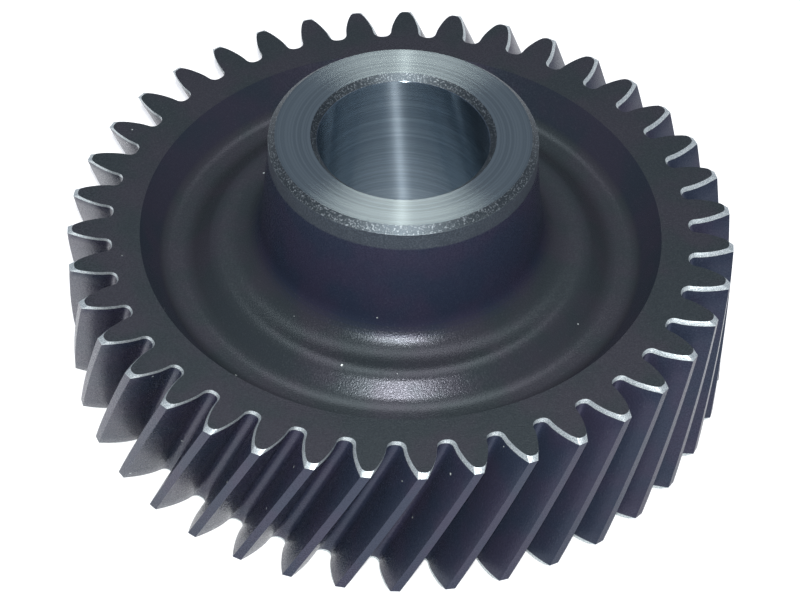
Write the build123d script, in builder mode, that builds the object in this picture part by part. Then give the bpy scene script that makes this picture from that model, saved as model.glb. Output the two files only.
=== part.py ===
"""A heavy gearbox wheel: one forged and machined blank with helical teeth and a tall hub."""

from build123d import *
from math import acos, asin, atan, cos, hypot, pi, radians, sin, sqrt, tan
import os

# The wheel stands on its flat underside, with its axis along +Z and its origin in the middle of
# that face. A tooth is centred on +X halfway up the rim.

# Teeth, by their normal module and the usual factors of it
teeth = 39
normal_module = 4.0
normal_pressure_angle = 17.5
helix_angle = 23.7
addendum_factor = 1.33
dedendum_factor = 1.60
root_fillet_factor = 0.47
face_width = 46.5

# Chamfers round both ends of the teeth
tip_chamfer = 1.4
flank_chamfer = 0.7
end_chamfer_height = 1.0

# Rim and hub
rim_thickness = 7.9
hub_rise = 34.0
collar_radius = 36.0
collar_length = 7.0
collar_chamfer = 1.8
bore_radius = 23.0
bore_chamfer = 1.7

# Web: its upper side steps down from a shelf round the hub, its lower side is one plain dish
neck_radius = 39.0
neck_fillet = 9.0
shelf_radius = 51.2
shelf_depth = 4.0
step_angle = 45.0
step_fillet = 4.0
floor_depth = 9.6
wall_angle = 50.0
wall_fillet = 4.0
foot_radius = 41.0
foot_chamfer = 1.0
dish_depth = 9.0

# The involute, in the plane across the axis
helix = radians(helix_angle)
transverse_angle = atan(tan(radians(normal_pressure_angle)) / cos(helix))
pitch_radius = teeth * normal_module / cos(helix) / 2
base_radius = pitch_radius * cos(transverse_angle)
tip_radius = pitch_radius + addendum_factor * normal_module
root_radius = pitch_radius - dedendum_factor * normal_module
lead = 2 * pi * pitch_radius / tan(helix)
pitch_angle = 2 * pi / teeth


def involute(angle):
    """The involute function of a pressure angle in radians."""
    return tan(angle) - angle


# Half of a gap between two teeth, as an angle where the flanks leave the base circle
base_half_gap = pitch_angle / 4 - involute(transverse_angle)
root_fillet = min(root_fillet_factor * normal_module, 0.9 * base_half_gap * base_radius)


def half_gap(radius):
    """Half of a gap as an angle: involute flanks outside the base circle, radial ones inside."""
    return base_half_gap + involute(acos(min(1, base_radius / radius)))


def polar(radius, angle):
    """The point at a radius and an angle in radians."""
    return (radius * cos(angle), radius * sin(angle))


def toothed_section(height, flank_inset=0.0, tip_inset=0.0):
    """The wheel's outline at a height, turned along the helix and drawn in by the insets."""
    reach = root_fillet + flank_inset
    fillet_centres = root_radius + root_fillet
    # An involute moved sideways is the same involute turned about the axis
    turn = flank_inset / base_radius
    unrolled = sqrt(max(fillet_centres**2 - base_radius**2, 0))
    if unrolled > reach:
        touch_radius = hypot(base_radius, unrolled - reach)
        floor_angle = half_gap(fillet_centres) + turn - reach / base_radius
    else:
        touch_radius = sqrt(fillet_centres**2 - reach**2)
        floor_angle = half_gap(touch_radius) + turn - asin(reach / fillet_centres)
    outer_radius = tip_radius - tip_inset
    flank_radii = (touch_radius, (touch_radius + outer_radius) / 2, outer_radius)
    tip_angle = pitch_angle - half_gap(outer_radius) - turn
    floor_end = polar(root_radius - flank_inset, floor_angle)
    floor_start = polar(root_radius - flank_inset, -floor_angle)
    # The plane's X axis runs along the middle of a gap
    gap_angle = 2 * pi * (height - face_width / 2) / lead + pitch_angle / 2
    plane = Plane((0, 0, height), x_dir=(*polar(1, gap_angle), 0), z_dir=(0, 0, 1))
    with BuildSketch(plane) as section:
        with BuildLine():
            with BuildLine(mode=Mode.PRIVATE) as one_pitch:
                flank = Spline(*[polar(radius, half_gap(radius) + turn) for radius in flank_radii])
                fillet_arc = RadiusArc(flank @ 0, floor_end, reach)
                mirror([flank, fillet_arc], about=Plane.XZ)
                Line(floor_end, floor_start)
                Line(flank @ 1, polar(outer_radius, tip_angle))
            with PolarLocations(0, teeth):
                add(one_pitch.line)
        make_face()
    return section.sketch


# Heights of the sections that the teeth run through, close enough together to follow the helix
helix_steps = 4
step_height = (face_width - 2 * end_chamfer_height) / helix_steps
heights = [end_chamfer_height + step_height * step for step in range(helix_steps + 1)]

# Heights and radii round the web
hub_top = face_width + hub_rise
shelf_height = face_width - shelf_depth
floor_height = face_width - floor_depth
rim_radius = root_radius - rim_thickness
seam_radius = rim_radius + rim_thickness / 2
step_run = (floor_depth - shelf_depth) / tan(radians(step_angle))
wall_slope = tan(radians(wall_angle))

# Corners of the web's half section that are rounded
neck_root = (neck_radius, shelf_height)
shelf_edge = (shelf_radius, shelf_height)
step_root = (shelf_radius + step_run, floor_height)
wall_root = (rim_radius - floor_depth / wall_slope, floor_height)
dish_rim_root = (rim_radius - dish_depth / wall_slope, dish_depth)
dish_hub_root = (foot_radius + dish_depth / wall_slope, dish_depth)

with BuildPart() as toothed_rim:
    end_sections = [toothed_section(end, flank_chamfer, tip_chamfer) for end in (0, face_width)]
    sections = [toothed_section(height) for height in heights]
    loft([end_sections[0], *sections, end_sections[1]], ruled=True)
    with BuildSketch():
        Circle(seam_radius)
    extrude(amount=face_width, mode=Mode.SUBTRACT)

with BuildPart() as helical_gear:
    with BuildSketch(Plane.XZ) as half_section:
        with BuildLine():
            Polyline(
                (bore_radius, bore_chamfer),
                (bore_radius + bore_chamfer, 0),
                (foot_radius - foot_chamfer, 0),
                (foot_radius, foot_chamfer),
                dish_hub_root,
                dish_rim_root,
                (rim_radius, 0),
                (seam_radius, 0),
                (seam_radius, face_width),
                (rim_radius, face_width),
                wall_root,
                step_root,
                shelf_edge,
                neck_root,
                (collar_radius, hub_top - collar_length),
                (collar_radius, hub_top - collar_chamfer),
                (collar_radius - collar_chamfer, hub_top),
                (bore_radius + bore_chamfer, hub_top),
                (bore_radius, hub_top - bore_chamfer),
                close=True,
            )
        make_face()
        for radius, corners in (
            (neck_fillet, [neck_root]),
            (step_fillet, [shelf_edge, step_root]),
            (wall_fillet, [wall_root, dish_rim_root, dish_hub_root]),
        ):
            points = half_section.vertices()
            fillet([points.sort_by_distance(corner)[0] for corner in corners], radius)
    revolve(axis=Axis.Z)
    add(toothed_rim.part)

helical_gear.part.label = "helical_gear"
os.makedirs("parts", exist_ok=True)
export_step(helical_gear.part, "parts/helical_gear.step")
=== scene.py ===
"""Looks for the helical gear: one closed mesh in place of the CAD node, floor, light, camera."""

from math import acos, atan2, cos, hypot, pi, radians, sin, sqrt, tan

import bpy
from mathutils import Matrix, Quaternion, Vector


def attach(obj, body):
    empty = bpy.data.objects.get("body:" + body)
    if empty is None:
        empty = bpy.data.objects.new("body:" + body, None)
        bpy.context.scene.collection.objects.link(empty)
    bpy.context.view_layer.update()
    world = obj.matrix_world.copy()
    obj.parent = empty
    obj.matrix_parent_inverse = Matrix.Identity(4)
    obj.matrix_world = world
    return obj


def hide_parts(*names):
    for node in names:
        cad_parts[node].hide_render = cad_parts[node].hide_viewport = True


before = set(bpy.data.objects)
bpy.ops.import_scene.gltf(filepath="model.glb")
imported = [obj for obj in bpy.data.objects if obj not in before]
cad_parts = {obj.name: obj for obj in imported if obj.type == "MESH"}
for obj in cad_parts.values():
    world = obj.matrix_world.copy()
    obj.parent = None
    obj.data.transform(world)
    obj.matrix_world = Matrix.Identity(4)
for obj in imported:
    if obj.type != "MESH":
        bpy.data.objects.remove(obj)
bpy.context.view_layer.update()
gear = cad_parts["helical_gear"]

MM = 0.001

# Sizes of the toothed rim, in millimetres
TEETH = 39
PITCH_RADIUS = 85.184
BASE_RADIUS = 80.543
TIP_RADIUS = 90.504
ROOT_RADIUS = 78.784
ROOT_FILLET = 1.88
LEAD = 1219.3
RIM_INNER = 70.884
RIM_TOP = 46.5
# The tooth-end chamfers: their height, and how far they cut in at the tips and at the flanks
CHAMFER_HEIGHT = 1.0
TIP_INSET = 1.4
FLANK_INSET = 0.35
# A tooth tip's outline: how far the flank's last two points sink and the tip's two points rise,
# and how far towards the middle of the tooth the first of the tip's points lies
CRISP_TIP = (0.0, 0.0), (0.0, 0.0)
ROUND_TIP = (0.1, 0.45), (0.05, 0.15)
CROWN_SHARE = 0.45
# Corners of the section inside the teeth: radius, height, fillet and its steps
UPPER_PROFILE = [
    (RIM_INNER, RIM_TOP, 0, 0),
    (64.6, 36.9, 4.5, 6),
    (57.6, 36.9, 6.5, 6),
    (50.9, 42.5, 6.5, 6),
    (39.0, 42.5, 9.0, 9),
    (36.0, 73.5, 0, 0),
    (36.0, 78.7, 0, 0),
    (34.2, 80.5, 0, 0),
    (24.7, 80.5, 0, 0),
    (23.0, 78.8, 0, 0),
]
LOWER_PROFILE = [
    (23.0, 1.7, 0, 0),
    (24.7, 0.0, 0, 0),
    (40.0, 0.0, 0, 0),
    (41.0, 1.0, 0, 0),
    (48.55, 9.0, 4.0, 4),
    (63.33, 9.0, 4.0, 4),
    (RIM_INNER, 0.0, 0, 0),
]
# How finely a tooth is drawn
FILLET_STEPS = 5
FLANK_STEPS = 6
HELIX_STEPS = 12
SMOOTH_UP_TO = radians(28)

# Where one kind of surface gives way to the next, in millimetres
HUB_CHAMFER = 78.72
COLLAR_FOOT = 73.52
BORE = 23.1
BORE_MOUTH = 24.75
TOOTH_ROOT = 78.0
BORDER = 0.02
# Half of the height over which the hub's chamfer and the collar's foot blend
HUB_BLUR, COLLAR_BLUR = 0.05, 0.3
# A surface whose normal stands less upright than this is no flat face
UPRIGHT = 0.985
# Steepness falls from 1 to 0 while the normal's upright share goes from 0.25 to 0.85
STEEPNESS = 0.25, 0.85, 1.0, 0.0

# Patterns: scale per millimetre, detail, roughness
FINE_NOISE = 2.2, 3.0, 0.65
GRAIN_NOISE = 5.0, 2.0, 0.6
CLOUD_NOISE = 0.06, 3.0, 0.55
RING_NOISE = 1.6, 3.0, 0.7
# Small pale specks scattered over the dark body
SPECK_SCALE, SPECK_RADIUS = 0.11, 0.035

# Colours: the span of the pattern that they follow, and the tones at its two ends
BODY_FLAT = (0.38, 0.62), (0.034, 0.043, 0.048), (0.042, 0.043, 0.053)
# Painted shade: the steep sides get a darker, more violet copy of the body colour, which also
# paints in a violet reflection
BODY_STEEP_PAINTED_SHADE = (0.38, 0.62), (0.023, 0.031, 0.056), (0.031, 0.031, 0.058)
COLLAR_TONES = (0.4, 0.7), (0.055, 0.067, 0.085), (0.12, 0.145, 0.17)
# Painted highlight: the tooth-end chamfers are coloured pale grey all round the wheel
TOOTH_BEVEL_HIGHLIGHT_TONES = (0.4, 0.65), (0.30, 0.35, 0.37), (0.75, 0.80, 0.80)
BORE_TONES = (0.35, 0.65), (0.34, 0.41, 0.47), (0.46, 0.54, 0.60)
HUB_BEVEL_TONES = (0.52, 0.66), (0.07, 0.085, 0.095), (0.34, 0.38, 0.40)
HUB_FACE_TONES = (0.35, 0.65), (0.34, 0.40, 0.40), (0.45, 0.52, 0.51)
BODY_GRAIN = (0.16, 0.18, 0.19)
PALE_SPECK = (0.55, 0.60, 0.58)

# Shares that follow a pattern: its span, and the share at its two ends
GRAIN_SHARE = 0.60, 0.80, 0.0, 0.30
BODY_ROUGH = 0.3, 0.7, 0.20, 0.36
HUB_BEVEL_ROUGH = 0.35, 0.65, 0.45, 0.62

COLLAR_ROUGH = 0.38
TOOTH_BEVEL_ROUGH = 0.42
TURNED_ROUGH = 0.24
FLAT_METAL, STEEP_METAL, WORN_METAL = 0.45, 0.3, 0.6
TURNED_ANISOTROPY, HUB_BEVEL_ANISOTROPY = 1.0, 0.3
ACROSS_THE_RINGS = 0.25
SPECULAR = 0.3
TURNED_RELIEF = 0.08
BUMP_STRENGTH, BUMP_DEPTH = 0.6, 0.00012

FLOOR_SIZE, FLOOR_HEIGHT = 6, -0.0002
FLOOR_WHITE = (0.9, 0.9, 0.9, 1)
FLOOR_GLOW = 0.2
STUDIO_GREY = (0.19, 0.215, 0.275, 1)
BACKDROP_WHITE = (1, 1, 1, 1)

# The camera circles the middle of the rim's top face
FOCUS = Vector((0, 0, RIM_TOP * MM))
DISTANCE = 0.9295
AZIMUTH = radians(269.57)
ELEVATION = radians(44.353)
PAN, TILT, ROLL = radians(-0.02), radians(-1.224), radians(-1.651)
LENS, SENSOR = 153.8, 36
NEAREST, FARTHEST = 0.05, 20


class Nodes:
    """Short calls for building one material's node tree."""

    def __init__(self, name):
        self.material = bpy.data.materials.new(name)
        self.material.use_nodes = True
        self.tree = self.material.node_tree
        self.tree.nodes.clear()

    def add(self, kind, **settings):
        node = self.tree.nodes.new(kind)
        for key, value in settings.items():
            setattr(node, key, value)
        return node

    def plug(self, socket, value):
        """Link an output to the socket, or set the socket's own value."""
        if isinstance(value, bpy.types.NodeSocket):
            self.tree.links.new(value, socket)
        else:
            socket.default_value = value

    def math(self, operation, *values):
        node = self.add("ShaderNodeMath", operation=operation)
        for socket, value in zip(node.inputs, values):
            self.plug(socket, value)
        return node.outputs[0]

    def ramp(self, value, low, high, out_low=0.0, out_high=1.0):
        """A smooth step from out_low to out_high while the value goes from low to high."""
        node = self.add("ShaderNodeMapRange", interpolation_type="SMOOTHSTEP")
        for socket, v in zip(node.inputs, (value, low, high, out_low, out_high)):
            self.plug(socket, v)
        return node.outputs[0]

    def mix(self, factor, a, b):
        """Blend two numbers."""
        node = self.add("ShaderNodeMix", data_type="FLOAT")
        for socket, v in zip((node.inputs[0], node.inputs[2], node.inputs[3]), (factor, a, b)):
            self.plug(socket, v)
        return node.outputs[0]

    def colour(self, factor, a, b):
        """Blend two colours."""
        node = self.add("ShaderNodeMix", data_type="RGBA")
        for socket, v in zip((node.inputs[0], node.inputs[6], node.inputs[7]), (factor, a, b)):
            self.plug(socket, (*v, 1) if isinstance(v, tuple) else v)
        return node.outputs[2]

    def tones(self, pattern, span, a, b):
        """Two colours, blended over a span of the pattern."""
        return self.colour(self.ramp(pattern, *span), a, b)

    def noise(self, vector, scale, detail, roughness):
        node = self.add("ShaderNodeTexNoise")
        self.plug(node.inputs["Vector"], vector)
        self.plug(node.inputs["Scale"], scale)
        self.plug(node.inputs["Detail"], detail)
        self.plug(node.inputs["Roughness"], roughness)
        return node.outputs["Fac"]


def steel():
    """Black phosphated steel, bright where it is machined or worn, with painted shade on the
    steep sides and a painted highlight on the tooth-end chamfers.
    """
    n = Nodes("gear_steel_dark_and_bright")
    place = n.add("ShaderNodeTexCoord").outputs["Object"]
    scaled = n.add("ShaderNodeVectorMath", operation="SCALE")
    n.plug(scaled.inputs[0], place)
    n.plug(scaled.inputs["Scale"], 1 / MM)
    mm = scaled.outputs[0]
    split = n.add("ShaderNodeSeparateXYZ")
    n.plug(split.inputs[0], mm)
    x, y, z = split.outputs
    radius = n.math("SQRT", n.math("ADD", n.math("MULTIPLY", x, x), n.math("MULTIPLY", y, y)))
    geometry = n.add("ShaderNodeNewGeometry")
    facing = n.add("ShaderNodeSeparateXYZ")
    n.plug(facing.inputs[0], geometry.outputs["True Normal"])
    upright = n.math("ABSOLUTE", facing.outputs[2])

    # Masks, each 1 on its own surface
    hub_machined = n.ramp(z, HUB_CHAMFER - HUB_BLUR, HUB_CHAMFER + HUB_BLUR)
    bore = n.math("LESS_THAN", radius, BORE)
    bright = n.math("MAXIMUM", hub_machined, n.math("LESS_THAN", radius, BORE_MOUTH))
    above_collar_foot = n.ramp(z, COLLAR_FOOT - COLLAR_BLUR, COLLAR_FOOT + COLLAR_BLUR)
    collar = n.math("MULTIPLY", above_collar_foot, n.math("SUBTRACT", 1.0, hub_machined))
    off_flat = n.math("LESS_THAN", upright, UPRIGHT)
    at_the_ends = n.math(
        "MAXIMUM",
        n.math("GREATER_THAN", z, RIM_TOP - CHAMFER_HEIGHT - BORDER),
        n.math("LESS_THAN", z, CHAMFER_HEIGHT + BORDER),
    )
    tooth_bevel = n.math("MULTIPLY", n.math("GREATER_THAN", radius, TOOTH_ROOT), off_flat)
    tooth_bevel = n.math("MULTIPLY", tooth_bevel, at_the_ends)
    hub_bevel = n.math("MULTIPLY", hub_machined, off_flat)
    hub_bevel = n.math("MULTIPLY", hub_bevel, n.math("SUBTRACT", 1.0, bore))

    # Patterns; the rings run round the axis, since their place is the radius and the height
    fine = n.noise(mm, *FINE_NOISE)
    grain = n.noise(mm, *GRAIN_NOISE)
    cloud = n.noise(mm, *CLOUD_NOISE)
    section_place = n.add("ShaderNodeCombineXYZ")
    n.plug(section_place.inputs[0], radius)
    n.plug(section_place.inputs[2], z)
    rings = n.noise(section_place.outputs[0], *RING_NOISE)
    specks = n.add("ShaderNodeTexVoronoi")
    n.plug(specks.inputs["Vector"], mm)
    n.plug(specks.inputs["Scale"], SPECK_SCALE)
    pale_specks = n.math("LESS_THAN", specks.outputs["Distance"], SPECK_RADIUS)

    # The body: grey-green on what faces up; the steep sides get painted shade, a darker violet
    # copy of the same steel that also paints in a violet reflection
    steep = n.ramp(upright, *STEEPNESS)
    flat_tone = n.tones(cloud, *BODY_FLAT)
    steep_painted_shade = n.tones(cloud, *BODY_STEEP_PAINTED_SHADE)
    base = n.colour(steep, flat_tone, steep_painted_shade)
    base = n.colour(n.ramp(fine, *GRAIN_SHARE), base, BODY_GRAIN)
    base = n.colour(collar, base, n.tones(fine, *COLLAR_TONES))
    # Painted highlight: the tooth-end chamfers turn pale grey
    base = n.colour(tooth_bevel, base, n.tones(grain, *TOOTH_BEVEL_HIGHLIGHT_TONES))
    # Small pale specks scattered over the dark body
    base = n.colour(pale_specks, base, PALE_SPECK)

    # The hub's machined end and the bore
    turned = n.tones(rings, *HUB_FACE_TONES)
    turned = n.colour(bore, turned, n.tones(rings, *BORE_TONES))
    turned = n.colour(hub_bevel, turned, n.tones(fine, *HUB_BEVEL_TONES))
    base = n.colour(bright, base, turned)

    rough = n.mix(collar, n.ramp(fine, *BODY_ROUGH), COLLAR_ROUGH)
    rough = n.mix(tooth_bevel, rough, TOOTH_BEVEL_ROUGH)
    hub_bevel_rough = n.ramp(fine, *HUB_BEVEL_ROUGH)
    rough = n.mix(bright, rough, n.mix(hub_bevel, TURNED_ROUGH, hub_bevel_rough))
    metallic = n.mix(steep, FLAT_METAL, STEEP_METAL)
    metallic = n.mix(n.math("MAXIMUM", collar, tooth_bevel), metallic, WORN_METAL)
    metallic = n.mix(bright, metallic, 1.0)
    anisotropy = n.mix(hub_bevel, TURNED_ANISOTROPY, HUB_BEVEL_ANISOTROPY)

    turned_relief = n.mix(hub_bevel, n.math("MULTIPLY", rings, TURNED_RELIEF), fine)
    bump = n.add("ShaderNodeBump")
    n.plug(bump.inputs["Strength"], BUMP_STRENGTH)
    n.plug(bump.inputs["Distance"], BUMP_DEPTH)
    n.plug(bump.inputs["Height"], n.mix(bright, fine, turned_relief))

    tangent = n.add("ShaderNodeTangent", direction_type="RADIAL", axis="Z")
    shader = n.add("ShaderNodeBsdfPrincipled")
    n.plug(shader.inputs["Base Color"], base)
    n.plug(shader.inputs["Metallic"], metallic)
    n.plug(shader.inputs["Roughness"], rough)
    n.plug(shader.inputs["Anisotropic"], n.mix(bright, 0.0, anisotropy))
    n.plug(shader.inputs["Anisotropic Rotation"], ACROSS_THE_RINGS)
    n.plug(shader.inputs["Specular IOR Level"], SPECULAR)
    n.plug(shader.inputs["Tangent"], tangent.outputs[0])
    n.plug(shader.inputs["Normal"], bump.outputs[0])
    out = n.add("ShaderNodeOutputMaterial")
    n.plug(out.inputs["Surface"], shader.outputs[0])
    return n.material


def involute(angle):
    return tan(angle) - angle


PITCH_ANGLE = 2 * pi / TEETH
BASE_HALF_GAP = PITCH_ANGLE / 4 - involute(acos(BASE_RADIUS / PITCH_RADIUS))


def half_gap(radius):
    """Half of the gap between two teeth at a radius, as an angle."""
    return BASE_HALF_GAP + involute(acos(BASE_RADIUS / radius))


def half_outline(tip, radial_inset=0.0, flank_inset=0.0):
    """(radius, angle) from the middle of a gap to the middle of the next tooth."""
    # The fillet meets the flank on the line through its centre that touches the base circle
    centres = ROOT_RADIUS + ROOT_FILLET
    reach = ROOT_FILLET + flank_inset
    touch = hypot(BASE_RADIUS, sqrt(centres**2 - BASE_RADIUS**2) - reach)
    turn = flank_inset / BASE_RADIUS
    floor_angle = half_gap(centres) + turn - reach / BASE_RADIUS
    cx, cy = centres * cos(floor_angle), centres * sin(floor_angle)
    touch_angle = half_gap(touch) + turn
    first = floor_angle + pi
    last = atan2(touch * sin(touch_angle) - cy, touch * cos(touch_angle) - cx)
    last += 2 * pi if last < 0 else 0
    points = [(ROOT_RADIUS - flank_inset, 0.0)]
    for i in range(FILLET_STEPS + 1):
        a = first + (last - first) * i / FILLET_STEPS
        px, py = cx + reach * cos(a), cy + reach * sin(a)
        points.append((hypot(px, py), atan2(py, px)))
    top = TIP_RADIUS - radial_inset
    for i in range(1, FLANK_STEPS + 1):
        radius = touch + (top - touch) * i / FLANK_STEPS
        points.append((radius, half_gap(radius) + turn))
    corner, middle = points[-1][1], PITCH_ANGLE / 2
    drops, rises = tip
    points[-2:] = [(r - drop, a) for (r, a), drop in zip(points[-2:], drops)]
    for rise, share in zip(rises, (CROWN_SHARE, 1.0)):
        points.append((top + rise, corner + (middle - corner) * share))
    return points


def whole_outline(half):
    """The half pitch mirrored and repeated round the wheel."""
    pitch = half + [(r, PITCH_ANGLE - a) for r, a in half[-2:0:-1]]
    return [(r, a + k * PITCH_ANGLE) for k in range(TEETH) for r, a in pitch]


def rounded(corners):
    """A profile of (radius, height, fillet, steps) corners as points."""
    points = []
    for i, (r, z, fillet, steps) in enumerate(corners):
        if not fillet:
            points.append((r, z))
            continue
        here = Vector((r, z))
        before = (Vector(corners[i - 1][:2]) - here).normalized()
        after = (Vector(corners[i + 1][:2]) - here).normalized()
        half = before.angle(after) / 2
        centre = here + (before + after).normalized() * fillet / sin(half)
        start = here + before * fillet / tan(half) - centre
        finish = here + after * fillet / tan(half) - centre
        whole = start.angle(finish)
        for k in range(steps + 1):
            t = k / steps
            spoke = (start * sin(whole * (1 - t)) + finish * sin(whole * t)) / sin(whole)
            points.append(tuple(centre + spoke))
    return points


def twist(z):
    """How far the teeth have turned at a height."""
    return 2 * pi * (z - RIM_TOP / 2) / LEAD + PITCH_ANGLE / 2


def wheel_mesh():
    """One closed skin: columns follow the tooth outline, rows go round the section."""
    full = whole_outline(half_outline(CRISP_TIP))
    inset = whole_outline(half_outline(ROUND_TIP, TIP_INSET, FLANK_INSET))
    flank_height = RIM_TOP - 2 * CHAMFER_HEIGHT
    heights = [CHAMFER_HEIGHT + flank_height * i / HELIX_STEPS for i in range(HELIX_STEPS + 1)]
    toothed = [(inset, 0.0)] + [(full, z) for z in heights] + [(inset, RIM_TOP)]
    rows = [[(r, a + twist(z), z) for r, a in outline] for outline, z in toothed]
    # Inside the teeth the columns keep the angles they have at the rim's top or foot
    for profile, end in ((UPPER_PROFILE, RIM_TOP), (LOWER_PROFILE, 0.0)):
        rows += [[(r, a + twist(end), z) for _, a in inset] for r, z in rounded(profile)]
    vertices = [(r * cos(a) * MM, r * sin(a) * MM, z * MM) for row in rows for r, a, z in row]
    columns = len(full)
    faces = []
    for row in range(len(rows)):
        here, there = row * columns, (row + 1) % len(rows) * columns
        for c in range(columns):
            d = (c + 1) % columns
            faces.append((here + c, here + d, there + d, there + c))
    mesh = bpy.data.meshes.new("wheel")
    mesh.from_pydata(vertices, [], faces)
    mesh.validate()
    for polygon in mesh.polygons:
        polygon.use_smooth = True
    mesh.set_sharp_from_angle(angle=SMOOTH_UP_TO)
    return mesh


wheel = bpy.data.objects.new("gear_wheel", wheel_mesh())
bpy.context.scene.collection.objects.link(wheel)
wheel.data.materials.append(steel())
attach(wheel, "root")
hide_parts("helical_gear")
gear.data.materials.clear()
gear.data.materials.append(wheel.data.materials[0])

# Floor: white, with a faint glow that only the camera and mirrored rays see
bpy.ops.mesh.primitive_plane_add(size=FLOOR_SIZE, location=(0, 0, FLOOR_HEIGHT))
floor = bpy.context.object
floor.name = "floor"
n = Nodes("floor_white")
light_path = n.add("ShaderNodeLightPath")
seen = n.math(
    "MAXIMUM", light_path.outputs["Is Glossy Ray"], light_path.outputs["Is Transmission Ray"]
)
seen = n.math("MAXIMUM", light_path.outputs["Is Camera Ray"], seen)
diffuse = n.add("ShaderNodeBsdfDiffuse")
n.plug(diffuse.inputs["Color"], FLOOR_WHITE)
glow = n.add("ShaderNodeEmission")
n.plug(glow.inputs["Strength"], FLOOR_GLOW)
add = n.add("ShaderNodeAddShader")
n.plug(add.inputs[0], diffuse.outputs[0])
n.plug(add.inputs[1], glow.outputs[0])
pick = n.add("ShaderNodeMixShader")
n.plug(pick.inputs[0], seen)
n.plug(pick.inputs[1], diffuse.outputs[0])
n.plug(pick.inputs[2], add.outputs[0])
out = n.add("ShaderNodeOutputMaterial")
n.plug(out.inputs["Surface"], pick.outputs[0])
floor.data.materials.append(n.material)

# World: white for the camera, bluish grey for everything else
world = bpy.data.worlds.new("studio")
bpy.context.scene.world = world
world.use_nodes = True
tree = world.node_tree
light_path = tree.nodes.new("ShaderNodeLightPath")
shown = tree.nodes.new("ShaderNodeMix")
shown.data_type = "RGBA"
shown.inputs[6].default_value = STUDIO_GREY
shown.inputs[7].default_value = BACKDROP_WHITE
tree.links.new(light_path.outputs["Is Camera Ray"], shown.inputs[0])
tree.links.new(shown.outputs[2], tree.nodes["Background"].inputs["Color"])
tree.nodes["Background"].inputs["Strength"].default_value = 1.0


def area(name, where, at, size, watts):
    """A rectangular lamp that faces a point."""
    lamp = bpy.data.lights.new(name, "AREA")
    lamp.shape = "RECTANGLE"
    lamp.size, lamp.size_y = size
    lamp.energy = watts
    holder = bpy.data.objects.new(name, lamp)
    bpy.context.scene.collection.objects.link(holder)
    holder.location = where
    holder.rotation_mode = "QUATERNION"
    holder.rotation_quaternion = (Vector(at) - Vector(where)).to_track_quat("-Z", "Y")


area("overhead", where=(0, 0.20, 1.3), at=(0, 0, 0.04), size=(0.8, 0.9), watts=8)
area("flash", where=(0, -0.72, 0.80), at=(0, 0, 0.05), size=(0.022, 0.05), watts=12)

# Camera
camera = bpy.data.objects.new("camera", bpy.data.cameras.new("camera"))
bpy.context.scene.collection.objects.link(camera)
back = Vector((cos(AZIMUTH) * cos(ELEVATION), sin(AZIMUTH) * cos(ELEVATION), sin(ELEVATION)))
camera.location = FOCUS + DISTANCE * back
camera.rotation_mode = "QUATERNION"
camera.rotation_quaternion = (
    (-back).to_track_quat("-Z", "Y")
    @ Quaternion((0, 1, 0), PAN)
    @ Quaternion((1, 0, 0), TILT)
    @ Quaternion((0, 0, -1), ROLL)
)
camera.data.lens = LENS
camera.data.sensor_width = SENSOR
camera.data.clip_start, camera.data.clip_end = NEAREST, FARTHEST
bpy.context.scene.camera = camera
bpy.context.scene.view_settings.view_transform = "Standard"
